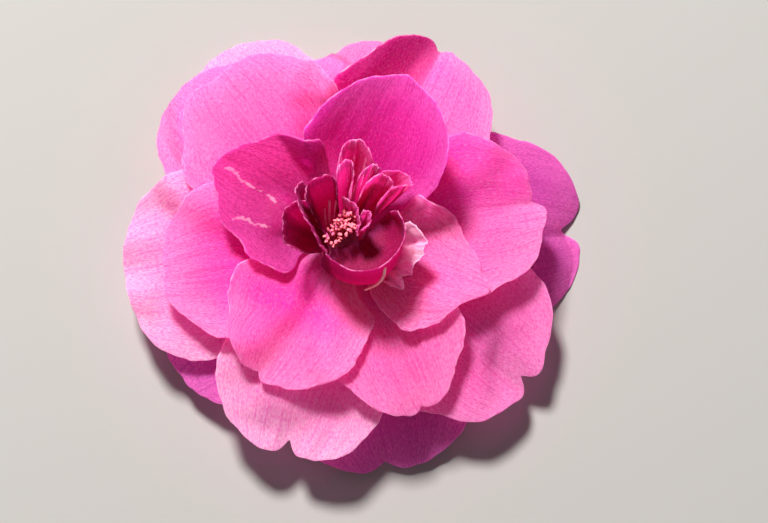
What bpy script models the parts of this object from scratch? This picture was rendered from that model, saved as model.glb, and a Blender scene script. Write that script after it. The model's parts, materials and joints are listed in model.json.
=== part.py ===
# Camellia bloom of the peony form, as picked, lying face up on a table.
# +Z is up along the axis of the bloom and z = 0 is the table. Sizes are in millimetres
# and angles in degrees until the last step, which makes them metres.

import math

import bmesh
import bpy
import numpy as np

MM = 0.001

# A petal's wall, the room between the middles of two petals that cross, and the gap
# between two pieces that touch in the living flower.
WALL = 0.45
SMALL_WALL = 0.3
CLEARANCE = 1.0
SMALL_CLEARANCE = 0.75
LARGE = 30.0
GAP = 0.3

# The petals grow on a cone: the outermost at its foot, the innermost near its top.
FOOT_RADIUS = 8.0
FOOT_HEIGHT = 11.0
TOP_RADIUS = 4.4
TOP_HEIGHT = 15.5
INNER_RADIUS = 3.1
INNER_HEIGHT = 17.8

# The cut end of the flower stalk, and the solid core that carries the petals.
STALK_RADIUS = 1.7
STALK_LENGTH = 2.0
CORE_FOOT = STALK_LENGTH + GAP
CORE_INSET = 0.42

STAMENS = 11
STAMEN_HEIGHT = 8.6
STAMEN_STEP = 1.2
STAMEN_FOOT = 18.4
STAMEN_SPREAD = 1.65
STAMEN_LEAN = 0.15
FILAMENT_RADIUS = 0.28
ANTHER_RADIUS = 0.46
ANTHER_LENGTH = 2.2
GOLDEN_ANGLE = 137.508

# One stamen has strayed outside the cup-shaped petaloid and curves up beside it.
STRAY_PATH = [
    ((-1.3, -4.7, 17.0), FILAMENT_RADIUS),
    ((-0.5, -7.5, 20.0), FILAMENT_RADIUS),
    ((1.0, -10.6, 23.2), FILAMENT_RADIUS),
    ((5.0, -11.4, 25.2), FILAMENT_RADIUS),
    ((7.6, -10.9, 27.2), FILAMENT_RADIUS),
    ((8.6, -9.8, 29.0), FILAMENT_RADIUS),
    ((8.4, -9.2, 31.0), FILAMENT_RADIUS),
]

# Where the axis stands, so that the middle of the whole bloom is over the origin.
AXIS_X = -2.0
AXIS_Y = -0.4

# How finely the lower petals are felt when the next one is laid over them.
STEP_OUT = 1.5
STEP_ROUND = 5.0
RINGS = 48
SPOKES = 72
FLOOR_ANGLE = -30.0
NEAREST = 1.2
STEEPEST = 100.0
BLEND = 3.0
FINE = np.linspace(0.0, 1.0, 41)
FINE_ACROSS = np.linspace(-1.0, 1.0, 41)

ROWS = (0.0, 0.14, 0.28, 0.42, 0.56, 0.7, 0.84, 1.0)
COLUMNS = (-1.0, -0.72, -0.44, -0.16, 0.16, 0.44, 0.72, 1.0)
SMALL_ROWS = (0.0, 0.2, 0.4, 0.6, 0.8, 1.0)
SMALL_COLUMNS = (-1.0, -0.6, -0.2, 0.2, 0.6, 1.0)
DRAWN_IN = 1.41
NICK_SPAN = 1.8
CLOSEST_COLUMN = 0.1
TURN_STEPS = 32
MERGE = 1e-5

# Shares of a petal's half width: a crease along its middle, and the foot of a drawn-out tip.
FOLD_WIDTH = 0.25
POINT_WIDTH = 0.3

SATIN = 0.55
PALE_PINK = (0.94, 0.36, 0.66)
PINK = (0.86, 0.17, 0.48)
DEEP_PINK = (0.72, 0.05, 0.30)
MAUVE = (0.62, 0.12, 0.36)

# Each petal from the lowest to the highest.
# azimuth: its direction round the bloom; length and half: its length and half width;
# rise: how high its foot, middle and tip stand, as seen from where it grows;
# cup: how far its sides bend up; lean: one side up and the other down;
# fold: a crease along its middle; notch: place across, depth and width of the nick in
# its tip; wrap: the slope at which it is rolled round the axis; skew: a sideways sweep;
# point: how far its tip is drawn out.
DEFAULTS = dict(
    cup=0.0, lean=0.0, fold=0.0, notch=None, wrap=15.0, skew=0.0, point=0.0, widest=0.6,
    claw=0.2, square=0.5, wave=0.0, waves=2.0,
)

PETALS = [
    dict(name="petal_back_lower_left", azimuth=219, length=40, half=18,
         rise=(12, -2, -17), cup=3, colour=MAUVE),
    dict(name="petal_back_top_left", azimuth=120, length=47, half=19,
         rise=(12, 0, -8), cup=2, colour=PALE_PINK),
    dict(name="petal_back_bottom", azimuth=285, length=44, half=22,
         rise=(12, -2, -17), cup=2, notch=(-0.12, 3.2, 0.16), colour=MAUVE),
    dict(name="petal_back_right", azimuth=11, length=48.5, half=23,
         rise=(12, -1, -15), cup=3, notch=(-0.1, 5.0, 0.14), colour=MAUVE),
    dict(name="petal_back_top", azimuth=85, length=43, half=19,
         rise=(12, -1, -15), cup=2, colour=PALE_PINK),
    dict(name="petal_back_left", azimuth=137, length=45, half=18,
         rise=(12, 0, -7), cup=2, colour=PALE_PINK),
    dict(name="petal_left", azimuth=189, length=43, half=22,
         rise=(14, 3, -2), cup=2, colour=PALE_PINK, square=0.42, wave=1.5, waves=3.5),
    dict(name="petal_lower_right", azimuth=326, length=44, half=23,
         rise=(14, 2, -8), cup=2, notch=(-0.05, 4.0, 0.12), colour=PALE_PINK,
         square=0.44),
    dict(name="petal_bottom", azimuth=251.5, length=43.5, half=22,
         rise=(14, 3, -6), cup=3, notch=(0.05, 4.0, 0.1), colour=PALE_PINK),
    dict(name="petal_top_right", azimuth=63.5, length=44.5, half=19,
         rise=(18, 8, 4), cup=4, lean=-3, fold=-3, notch=(0.02, 1.6, 0.12), colour=PINK),
    dict(name="petal_upper_left", azimuth=127, length=42, half=20,
         rise=(18, 7, 3), cup=4, colour=PINK),
    dict(name="petal_mid_left", azimuth=191, length=35, half=17.8,
         rise=(20, 9, 5), cup=4, colour=PINK),
    dict(name="petal_mid_right", azimuth=9, length=39.5, half=18.4,
         rise=(20, 9, 4), cup=4, notch=(0.15, 2.0, 0.1), colour=PINK),
    dict(name="petal_mid_lower_right", azimuth=295, length=37, half=15,
         rise=(22, 9, 2), cup=4, notch=(-0.08, 1.8, 0.12), colour=PINK),
    dict(name="petal_mid_lower_left", azimuth=240, length=31.5, half=16,
         rise=(22, 11, 7), cup=5, notch=(-0.1, 1.6, 0.1), colour=PINK, wrap=25),
    dict(name="petal_inner_top", azimuth=66, length=36, half=17.5,
         rise=(34, 35, 36), cup=9, colour=PINK, wrap=35),
    dict(name="petal_inner_left", azimuth=152, length=24.5, half=14,
         rise=(30, 23, 21), cup=7, point=0.12, fold=-3, colour=DEEP_PINK, wrap=38),
    dict(name="petal_inner_right", azimuth=338, length=27, half=12,
         rise=(27, 14, 7), cup=6, point=0.16, colour=PINK, wrap=38),
]

# The small petals among the stamens, from the outermost to the innermost.
PETALOIDS = [
    dict(name="petaloid_top", azimuth=80, length=26, half=5, rise=(56, 56, 55),
         cup=10, colour=DEEP_PINK, wrap=55),
    dict(name="petaloid_curl", azimuth=341, length=23, half=6, rise=(60, 58, 50),
         cup=-8, colour=PALE_PINK, wrap=50, wave=5, waves=2.5),
    dict(name="petaloid_upper_right", azimuth=27, length=22, half=6, rise=(60, 60, 56),
         cup=10, point=0.2, colour=DEEP_PINK, wrap=55),
    dict(name="petaloid_cup", azimuth=303, length=23, half=14, rise=(60, 68, 70),
         cup=3, colour=DEEP_PINK, wrap=66, square=0.4),
    dict(name="petaloid_left", azimuth=178, length=24, half=6, rise=(65, 66, 66),
         cup=6, colour=DEEP_PINK, wrap=60),
    dict(name="petaloid_upper_fold", azimuth=46, length=22, half=5, rise=(70, 72, 70),
         cup=10, colour=PALE_PINK, wrap=62),
    dict(name="petaloid_upper", azimuth=92, length=22, half=4, rise=(62, 64, 65),
         cup=6, colour=DEEP_PINK, wrap=60),
    dict(name="petaloid_left_fold", azimuth=196, length=22, half=7, rise=(70, 74, 76),
         cup=4, colour=DEEP_PINK, wrap=66),
    dict(name="petaloid_upper_left", azimuth=120, length=22, half=5, rise=(66, 68, 68),
         cup=8, colour=DEEP_PINK, wrap=62),
    dict(name="petaloid_upper_narrow", azimuth=71, length=23, half=2.8, rise=(64, 66, 66),
         cup=4, colour=PALE_PINK, wrap=60),
]

CORE_GREEN = (0.55, 0.62, 0.30)
STALK_BROWN = (0.25, 0.22, 0.09)
ANTHER_YELLOW = (0.95, 0.55, 0.20)
SEPAL_GREEN = (0.20, 0.25, 0.07)
BRACT_BROWN = (0.26, 0.20, 0.08)

# The scales that hold the foot of the bloom: outer bracts first, then the sepals.
SCALE_FORM = dict(cup=8, wrap=25, claw=0.5, rise=(4, 14, 26))
SCALES = [
    dict(name="bract_1", azimuth=20, length=5.0, half=3.8, foot=(2.7, 2.7), colour=BRACT_BROWN),
    dict(name="bract_2", azimuth=200, length=5.4, half=4.0, foot=(2.8, 3.2), colour=BRACT_BROWN),
    dict(name="bract_3", azimuth=110, length=6.2, half=4.8, foot=(3.0, 3.8), colour=BRACT_BROWN),
    dict(name="bract_4", azimuth=290, length=6.6, half=5.0, foot=(3.1, 4.4), colour=BRACT_BROWN),
    dict(name="sepal_1", azimuth=55, length=8.0, half=5.8, foot=(3.6, 4.8), colour=SEPAL_GREEN),
    dict(name="sepal_2", azimuth=199, length=8.0, half=5.8, foot=(3.9, 5.2), colour=SEPAL_GREEN),
    dict(name="sepal_3", azimuth=343, length=7.8, half=5.8, foot=(4.2, 5.7), colour=SEPAL_GREEN),
    dict(name="sepal_4", azimuth=127, length=7.6, half=5.6, foot=(4.5, 6.2), colour=SEPAL_GREEN),
    dict(name="sepal_5", azimuth=271, length=7.4, half=5.6, foot=(4.8, 6.7), colour=SEPAL_GREEN),
]


def flat_pattern(petal, along, across):
    """Where the grid's points lie on the petal spread flat: out from its foot, and across."""
    length, half, widest = petal["length"], petal["half"], petal["widest"]
    low = np.clip(along / widest, 0.0, 1.0)
    high = np.clip((along - widest) / (1.0 - widest), 0.0, 1.0)
    spread = petal["claw"] + (1.0 - petal["claw"]) * np.sin(low * math.pi / 2.0)
    side = across * (1.0 - high**2 / 2.0) ** petal["square"]
    tip = high * (1.0 - across**2 / 2.0) ** petal["square"]
    out = length * (widest * low + (1.0 - widest) * tip)
    out = out + petal["point"] * length * tip * np.exp(-((side / POINT_WIDTH) ** 2))
    if petal["notch"]:
        place, depth, width = petal["notch"]
        out = out - depth * high**2 * np.exp(-(((side - place) / width) ** 2))
    return out, half * side * spread + petal["skew"] * (out / length) ** 2


def rolled(petal, out, aside):
    """The same points rolled into a cone round the axis: distance from the foot and direction."""
    cosine = math.cos(math.radians(petal["wrap"]))
    apex = petal["foot"][0] / cosine
    distance = np.hypot(out + apex, aside) - apex
    turn = np.degrees(np.arctan2(aside, out + apex)) / cosine
    return distance, turn


def free_rise(petal, out, aside):
    """How high the petal would stand with nothing under it, in degrees at its foot."""
    foot, middle, tip = petal["rise"]
    along = np.clip(out / petal["length"], 0.0, 1.2)
    rise = foot * (1 - along) * (1 - 2 * along) + middle * 4 * along * (1 - along)
    rise = rise + tip * along * (2 * along - 1)
    across = aside / petal["half"]
    rise = rise + petal["cup"] * across**2 + petal["lean"] * across
    rise = rise + petal["fold"] * np.exp(-((across / FOLD_WIDTH) ** 2))
    wave = np.sin(petal["waves"] * math.pi * across + petal["azimuth"])
    return rise + petal["wave"] * along**3 * wave


def felt_rise(petal, beneath):
    """The least rise over each ring and spoke that clears what lies beneath."""
    radius, direction, height = beneath
    foot_radius, foot_height = petal["foot"]
    distance = np.hypot(radius - foot_radius, height - foot_height)
    rise = np.degrees(np.arctan2(height - foot_height, radius - foot_radius))
    room = CLEARANCE if petal["length"] > LARGE else SMALL_CLEARANCE
    rise = rise + np.degrees(room / np.maximum(distance, room))
    ring = np.minimum((distance / STEP_OUT).astype(int), RINGS - 1)
    spoke = ((direction - petal["azimuth"]) % 360.0 / STEP_ROUND).astype(int) % SPOKES
    felt = np.full((RINGS, SPOKES), FLOOR_ANGLE)
    near = (distance > NEAREST) & (rise < STEEPEST)
    np.maximum.at(felt, (ring[near], spoke[near]), rise[near])
    felt = spread_out(spread_out(felt))
    return smoothed(smoothed(felt))


def around(field):
    """The field beside its neighbours one ring in and out, and one spoke each way."""
    shifted = []
    for ring in (-1, 0, 1):
        rows = np.clip(np.arange(RINGS) + ring, 0, RINGS - 1)
        shifted += [np.roll(field[rows], spoke, axis=1) for spoke in (-1, 0, 1)]
    return np.array(shifted)


def spread_out(field):
    return around(field).max(axis=0)


def smoothed(field):
    return around(field).mean(axis=0)


def sampled(field, distance, turn):
    """The field read between its rings and spokes."""
    ring = np.clip(distance / STEP_OUT - 0.5, 0.0, RINGS - 1.001)
    spoke = (turn % 360.0) / STEP_ROUND - 0.5
    low_ring = ring.astype(int)
    low_spoke = np.floor(spoke).astype(int)
    share_out, share_round = ring - low_ring, spoke - low_spoke
    total = 0.0
    for i, weight_out in ((0, 1 - share_out), (1, share_out)):
        for j, weight_round in ((0, 1 - share_round), (1, share_round)):
            value = field[low_ring + i, (low_spoke + j) % SPOKES]
            total = total + weight_out * weight_round * value
    return total


def petal_points(petal, along, across, felt):
    """The petal's surface over a grid, as radius, direction and height."""
    rows, columns = np.meshgrid(along, across, indexing="ij")
    out, aside = flat_pattern(petal, rows, columns)
    distance, turn = rolled(petal, out, aside)
    free = free_rise(petal, out, aside)
    least = sampled(felt, distance, turn)
    free = np.maximum(free, least) + BLEND * np.log1p(np.exp(-abs(free - least) / BLEND))
    foot_radius, foot_height = petal["foot"]
    drop = (foot_height - WALL / 2.0) / np.maximum(distance, foot_height)
    table = -np.degrees(np.arcsin(np.clip(drop, 0.0, 1.0)))
    rise = np.radians(np.maximum(free, table))
    radius = foot_radius + distance * np.cos(rise)
    height = foot_height + distance * np.sin(rise)
    return radius, petal["azimuth"] + turn, height


def to_space(points):
    radius, direction, height = points
    angle = np.radians(direction)
    return np.stack([radius * np.cos(angle), radius * np.sin(angle), height], axis=-1)


def material(name, colour):
    made = bpy.data.materials.new(name)
    made.use_nodes = True
    shader = made.node_tree.nodes["Principled BSDF"]
    shader.inputs["Base Color"].default_value = (*colour, 1.0)
    shader.inputs["Roughness"].default_value = SATIN
    shader.inputs["Metallic"].default_value = 0.0
    return made


def add_object(name, data, collection, surface):
    made = bpy.data.objects.new(name, data)
    data.materials.append(surface)
    collection.objects.link(made)
    made.parent = bpy.data.objects["bloom_axis"]
    return made


def sheet(name, grid, wall, collection, surface):
    """An open sheet of quads over the grid, given its wall by a Solidify modifier."""
    rows, columns = grid.shape[:2]
    mesh = bpy.data.meshes.new(name)
    build = bmesh.new()
    points = [[build.verts.new(grid[i, j] * MM) for j in range(columns)] for i in range(rows)]
    for i in range(rows - 1):
        for j in range(columns - 1):
            corners = (points[i][j], points[i][j + 1], points[i + 1][j + 1], points[i + 1][j])
            build.faces.new(corners).smooth = True
    build.to_mesh(mesh)
    build.free()
    made = add_object(name, mesh, collection, surface)
    solidify = made.modifiers.new("wall", "SOLIDIFY")
    solidify.thickness = wall * MM
    solidify.offset = 0.0
    return made


def columns_for(petal, columns):
    """The columns, with three of them moved to the nick in the tip."""
    if not petal["notch"]:
        return columns
    place, _, width = petal["notch"]
    # The top of the grid is drawn in, so the nick lies further across on the grid.
    place, width = place * DRAWN_IN, width * NICK_SPAN
    kept = [c for c in columns if abs(c - place) > width + CLOSEST_COLUMN]
    return sorted(kept + [place - width, place, place + width])


def growing(petals, low, high):
    """The petals with their feet spread evenly up the core, from low to high."""
    placed = []
    for order, petal in enumerate(petals):
        share = (order + 0.5) / len(petals)
        foot = tuple(l + share * (h - l) for l, h in zip(low, high))
        placed.append({**DEFAULTS, **petal, "foot": foot})
    return placed


def lay_petals(collection):
    beneath = np.zeros((3, 0))
    everything = [{**DEFAULTS, **SCALE_FORM, **scale} for scale in SCALES]
    foot, top = (FOOT_RADIUS, FOOT_HEIGHT), (TOP_RADIUS, TOP_HEIGHT)
    everything += growing(PETALS, foot, top)
    everything += growing(PETALOIDS, top, (INNER_RADIUS, INNER_HEIGHT))
    for petal in everything:
        felt = felt_rise(petal, beneath)
        large = petal["length"] > LARGE
        rows = ROWS if large else SMALL_ROWS
        columns = columns_for(petal, COLUMNS if large else SMALL_COLUMNS)
        grid = to_space(petal_points(petal, np.array(rows), np.array(columns), felt))
        surface = material(petal["name"] + "_skin", petal["colour"])
        wall = WALL if large else SMALL_WALL
        sheet(petal["name"], grid, wall, collection, surface)
        fine = petal_points(petal, FINE, FINE_ACROSS, felt)
        beneath = np.concatenate([beneath, np.array([f.ravel() for f in fine])], axis=1)


def turned(name, profile, collection, surface):
    """A closed body turned round the axis from a profile that starts and ends on it."""
    mesh = bpy.data.meshes.new(name)
    points = [(radius * MM, 0.0, height * MM) for radius, height in profile]
    mesh.from_pydata(points, [(i, i + 1) for i in range(len(points) - 1)], [])
    made = add_object(name, mesh, collection, surface)
    screw = made.modifiers.new("turn", "SCREW")
    screw.steps = screw.render_steps = TURN_STEPS
    screw.use_merge_vertices = True
    screw.merge_threshold = MERGE
    screw.use_smooth_shade = True
    screw.use_normal_calculate = True
    return made


def add_core(collection):
    """The solid core: a foot on the stalk, a wide shoulder for the outer petals, a low top."""
    rim, top = FOOT_RADIUS - CORE_INSET, TOP_RADIUS - CORE_INSET - 0.1
    profile = [
        (0.0, STAMEN_FOOT - GAP),
        (INNER_RADIUS - 1.0, STAMEN_FOOT - GAP),
        (INNER_RADIUS - CORE_INSET - 0.2, INNER_HEIGHT),
        (top, TOP_HEIGHT),
        (rim, FOOT_HEIGHT + 0.1),
        (rim, FOOT_HEIGHT - 0.7),
        (4.1, 7.4),
        (2.2, 3.4),
        (1.9, CORE_FOOT),
        (0.0, CORE_FOOT),
    ]
    turned("receptacle", profile, collection, material("receptacle_skin", CORE_GREEN))


def add_stalk(collection):
    profile = [
        (0.0, STALK_LENGTH),
        (STALK_RADIUS - 0.2, STALK_LENGTH),
        (STALK_RADIUS, STALK_LENGTH - 0.2),
        (STALK_RADIUS, 0.15),
        (STALK_RADIUS - 0.15, 0.0),
        (0.0, 0.0),
    ]
    turned("stalk_end", profile, collection, material("stalk_skin", STALK_BROWN))


def tube(name, path, collection, surface):
    """A round thread along a path of points, each with its own radius."""
    curve = bpy.data.curves.new(name, "CURVE")
    curve.dimensions = "3D"
    curve.bevel_depth = MM
    curve.bevel_resolution = 1
    curve.resolution_u = 2
    curve.use_fill_caps = True
    spline = curve.splines.new("NURBS")
    spline.points.add(len(path) - 1)
    for point, (place, radius) in zip(spline.points, path):
        point.co = (*[c * MM for c in place], 1.0)
        point.radius = radius
    spline.order_u = 3
    spline.use_endpoint_u = True
    return add_object(name, curve, collection, surface)


def add_stamens(collection):
    """Thin filaments, each with its anther, standing close together on the core."""
    for order in range(STAMENS):
        share = math.sqrt((order + 0.5) / STAMENS)
        angle = math.radians(order * GOLDEN_ANGLE)
        # Neighbours differ in height, which leaves their anthers room.
        height = STAMEN_HEIGHT + STAMEN_STEP * (order % 4)
        path = []
        for climb in (0.0, 0.25, 0.5, 0.75, 1.0):
            radius = STAMEN_SPREAD * share * (1.0 + STAMEN_LEAN * climb**2)
            place = (radius * math.cos(angle), radius * math.sin(angle))
            path.append(((*place, STAMEN_FOOT + height * climb), FILAMENT_RADIUS))
        for rise, width in ((0.15, 1.0), (0.5, 1.1), (0.85, 0.9), (1.0, 0.45)):
            above = STAMEN_FOOT + height + ANTHER_LENGTH * rise
            path.append(((*place, above), ANTHER_RADIUS * width))
        name = f"stamen_{order + 1:02d}"
        tube(name, path, collection, material(name + "_skin", ANTHER_YELLOW))
    stray = "stamen_stray"
    tube(stray, STRAY_PATH, collection, material(stray + "_skin", ANTHER_YELLOW))


def main():
    for old in list(bpy.data.objects):
        bpy.data.objects.remove(old, do_unlink=True)
    bloom = bpy.data.collections.new("camellia_bloom")
    bpy.context.scene.collection.children.link(bloom)
    axis = bpy.data.objects.new("bloom_axis", None)
    axis.location = (AXIS_X * MM, AXIS_Y * MM, 0.0)
    bloom.objects.link(axis)
    add_stalk(bloom)
    add_core(bloom)
    lay_petals(bloom)
    add_stamens(bloom)


main()
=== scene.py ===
import json
import math
from functools import partial

import bpy
import numpy as np
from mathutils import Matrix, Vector

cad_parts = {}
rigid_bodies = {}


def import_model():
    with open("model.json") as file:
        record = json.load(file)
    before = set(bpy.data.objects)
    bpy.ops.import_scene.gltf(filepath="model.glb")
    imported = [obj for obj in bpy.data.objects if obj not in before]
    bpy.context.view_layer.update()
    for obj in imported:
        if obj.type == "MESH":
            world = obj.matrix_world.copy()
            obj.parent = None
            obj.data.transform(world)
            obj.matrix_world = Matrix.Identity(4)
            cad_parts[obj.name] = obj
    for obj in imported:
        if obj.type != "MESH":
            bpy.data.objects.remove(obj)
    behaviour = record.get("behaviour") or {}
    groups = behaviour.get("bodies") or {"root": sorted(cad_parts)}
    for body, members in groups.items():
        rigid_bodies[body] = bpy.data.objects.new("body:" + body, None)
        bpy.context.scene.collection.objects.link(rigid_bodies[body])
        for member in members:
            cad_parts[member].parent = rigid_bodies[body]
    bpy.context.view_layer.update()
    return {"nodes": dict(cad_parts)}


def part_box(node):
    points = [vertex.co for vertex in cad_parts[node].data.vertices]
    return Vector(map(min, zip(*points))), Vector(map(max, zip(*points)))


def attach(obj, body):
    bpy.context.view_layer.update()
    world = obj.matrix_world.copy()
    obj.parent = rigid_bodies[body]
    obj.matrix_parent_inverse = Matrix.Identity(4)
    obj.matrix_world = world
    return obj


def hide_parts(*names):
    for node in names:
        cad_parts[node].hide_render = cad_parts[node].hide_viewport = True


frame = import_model()

mm = 0.001
stalkLow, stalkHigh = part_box("stalk_end")
axisX = (stalkLow.x + stalkHigh.x) / 2.0
axisY = (stalkLow.y + stalkHigh.y) / 2.0
print("frame loaded, axis of the bloom at", round(axisX, 4), round(axisY, 4))


# small helpers

def linearColour(hexCode):
    channels = [int(hexCode[i:i + 2], 16) / 255.0 for i in (1, 3, 5)]
    linear = [c / 12.92 if c <= 0.04045 else ((c + 0.055) / 1.055) ** 2.4 for c in channels]
    return (*linear, 1.0)


def addNode(tree, kind, inputs=None, **settings):
    # values may be plain, a socket, or a node, of which the first live output is used
    made = tree.nodes.new(kind)
    for setting, value in settings.items():
        setattr(made, setting, value)
    for socket, value in (inputs or {}).items():
        if isinstance(value, bpy.types.Node):
            value = next(output for output in value.outputs if output.enabled)
        if isinstance(value, bpy.types.NodeSocket):
            tree.links.new(value, made.inputs[socket])
        else:
            made.inputs[socket].default_value = value
    return made


def smoothStep(values, low, high):
    share = np.clip((values - low) / (high - low), 0.0, 1.0)
    return share * share * (3.0 - 2.0 * share)


# how a petal grows and is laid over the ones below it

# Petals grow on a cone: the outermost at its foot, the innermost near its top.
core = dict(foot=(8.0, 11.0), top=(4.4, 15.5))

# How the lower petals are felt when the next one is laid over them: steps and number of
# the rings and spokes, the room kept over them, and the height of the table underneath.
feel = dict(
    stepOut=1.0, stepRound=3.0, rings=72, spokes=120, floorAngle=-30.0, nearest=1.2,
    steepest=100.0, blend=2.5, room=1.0, smallRoom=0.75, table=0.25,
)

# azimuth: direction round the bloom; length, half: length and half width;
# rise: how high foot, middle and tip stand, seen from where the petal grows;
# cup: sides bent up; fold: a crease along the middle; lift: extra rise of either side;
# wrap: slope at which the petal is rolled round the axis; point: how far the tip is
# drawn out; notch: place across, depth and width of the nick in the tip;
# creases: place across, height and width; bulges: direction seen from the petal's
# middle, share by which the outline stands out there, and how wide;
# buckle: slow unevenness; frill: uneven outline; wave, waves: height and number of
# waves at the rim; widest, claw, square: where the petal is widest, how wide its foot is,
# and how blunt its outline; wall: thickness; relief, ribs: height and number of the ribs;
# streaks: start and end as out and across, and width; deep: shares of the length between
# which the deep colour fades, partly the petal's own deeper pigment towards its foot and
# partly painted shade where the petals above shade it; paintedSideShading: painted light
# and shade of either side, how much further the deep colour runs out on the anticlockwise
# and on the clockwise side where that side is shaded, or less far where it is lit;
# count: rows and columns of the mesh.
petalForm = dict(
    cup=0.0, fold=0.0, foldWidth=0.25, lift=(0.0, 0.0), wrap=15.0, point=0.0, pointWidth=0.3,
    widest=0.6, claw=0.2, square=0.5, notch=None, creases=(), bulges=(), wave=0.0, waves=2.0,
    buckle=0.5, frill=0.35, wall=0.36, count=72, relief=0.06, ribs=26.0, streaks=(),
    deep=(0.35, 0.95), paintedSideShading=(0.0, 0.0),
)

petals = [
    dict(name="petal_back_lower_left", slot="petal_mauve", azimuth=219, length=39, half=17,
         rise=(12, 0, -7), cup=3, deep=(0.4, 1.0)),
    dict(name="petal_back_top_left", slot="petal_pale", azimuth=119.5, length=47, half=19,
         rise=(12, 1, -4), cup=2, bulges=((-48, -0.1, 15),), deep=(0.3, 0.8)),
    dict(name="petal_back_bottom", slot="petal_mauve", azimuth=284, length=44.5, half=21.5,
         rise=(10, -3, -12), cup=2, notch=(-0.12, 3.2, 0.12), creases=((-0.12, -2.5, 0.2),),
         deep=(0.5, 1.0)),
    dict(name="petal_back_right", slot="petal_mauve", azimuth=8.5, length=48.5, half=22,
         rise=(12, -1, -11), cup=3, lift=(0, -14), notch=(-0.04, 5.0, 0.1), creases=((-0.1, -6, 0.25),),
         bulges=((20, 0.06, 20), (60, -0.06, 15)), deep=(0.45, 1.0)),
    dict(name="petal_back_top", slot="petal_pale", finish="petal_pink", azimuth=80, length=46.5,
         half=19, rise=(12, -1, -13), cup=2, bulges=((38, -0.2, 18),), deep=(0.3, 0.85)),
    dict(name="petal_back_left", slot="petal_pale", finish="petal_pink", azimuth=134, length=46,
         half=18, rise=(12, 1, -4), cup=2, deep=(0.3, 0.85)),
    dict(name="petal_left", slot="petal_pale", azimuth=188, length=43, half=21.2, rise=(10, -2, -4),
         cup=2, square=0.42, wave=1.5, waves=3.5, deep=(0.3, 0.7)),
    dict(name="petal_lower_right", slot="petal_pale", finish="petal_pink", azimuth=322, length=45,
         half=21.5, rise=(10, -2, -3), cup=2, square=0.44, notch=(0.06, 4.0, 0.07),
         creases=((-0.02, -4, 0.2),), bulges=((3, 0.08, 10), (-52, -0.13, 16)), deep=(0.35, 0.7)),
    dict(name="petal_bottom", slot="petal_pale", azimuth=253.5, length=43.5, half=18.7,
         rise=(10, -2, -1), cup=3, notch=(0.05, 4.0, 0.08), creases=((0.04, -2.5, 0.22),),
         bulges=((34, 0.04, 12),), deep=(0.35, 0.65)),
    dict(name="petal_top_right", slot="petal_pink", finish="petal_painted_fold_shade", azimuth=63.5, length=44.5,
         half=19, rise=(18, 8, 4), cup=2, lift=(38, 0), notch=(0.05, 2, 0.08),
         creases=((0.02, -4, 0.15),), bulges=((43, -0.12, 18), (4, 0.06, 10)), deep=(0.3, 0.7),
         paintedSideShading=(1.0, -0.5)),
    dict(name="petal_upper_left", slot="petal_pink", azimuth=127, length=42, half=20, rise=(18, 7, 3),
         cup=4, bulges=((17, 0.07, 10), (45, -0.08, 12), (-20, 0.06, 12)), deep=(0.25, 0.8)),
    dict(name="petal_mid_left", slot="petal_pink", azimuth=191, length=35, half=17.8, rise=(20, 9, 5),
         cup=4, bulges=((17, 0.06, 12),), deep=(0.5, 1.0)),
    dict(name="petal_mid_right", slot="petal_pink", azimuth=9, length=39.5, half=18.4, rise=(20, 9, 4),
         cup=4, notch=(0.14, 2.2, 0.08), creases=((0.12, -4, 0.2),), bulges=((3, 0.07, 8),
         (14, -0.05, 6), (-56, -0.09, 15), (68, 0.05, 10)), deep=(0.3, 0.75), paintedSideShading=(0.65, -0.3)),
    dict(name="petal_mid_lower_right", slot="petal_pink", azimuth=295, length=37, half=15,
         rise=(22, 9, 2), cup=4, notch=(-0.02, 1.8, 0.08), creases=((-0.02, -3, 0.2),),
         bulges=((35, -0.07, 15), (-50, -0.08, 15), (72, 0.07, 12)), deep=(0.15, 0.45)),
    dict(name="petal_mid_lower_left", slot="petal_pink", azimuth=240, length=31.5, half=16,
         rise=(22, 11, 7), cup=5, wrap=25, notch=(-0.07, 2.4, 0.08), creases=((-0.06, -7, 0.25),),
         bulges=((-97, 0.14, 15), (-56, -0.12, 14), (-2, 0.1, 6), (107, 0.18, 15)), deep=(0.4, 0.75),
         paintedSideShading=(-0.3, 0.35)),
    dict(name="petal_inner_top", slot="petal_inner", azimuth=66, length=36, half=17.5,
         rise=(34, 35, 36), cup=9, wrap=35, bulges=((86, 0.14, 12), (47, -0.06, 15), (2, 0.05, 10)),
         deep=(0.45, 1.0), paintedSideShading=(0.0, -0.4)),
    dict(name="petal_inner_left", slot="petal_inner", finish="petal_heart", azimuth=152, length=25.5,
         half=14.5, rise=(30, 23, 21), cup=6, fold=-3, lift=(-5, 0), wrap=38, point=0.12,
         bulges=((60, -0.2, 16), (112, 0.28, 15), (0, 0.07, 15), (-22, 0.08, 12), (-75, 0.14, 15)),
         streaks=((28.0, -0.8, 13.0, 0.2, 0.45), (21.5, 7.6, 6.0, 3.8, 0.42)), deep=(0.2, 0.85)),
    dict(name="petal_inner_right", slot="petal_inner", finish="petal_pink", azimuth=338, length=27,
         half=12, rise=(27, 14, 7), cup=4, wrap=38, point=0.2, pointWidth=0.2, bulges=((84, 0.22, 14),
         (40, -0.13, 16), (-1, -0.1, 6), (-66, 0.12, 12)), deep=(0.25, 0.62)),
]

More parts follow.
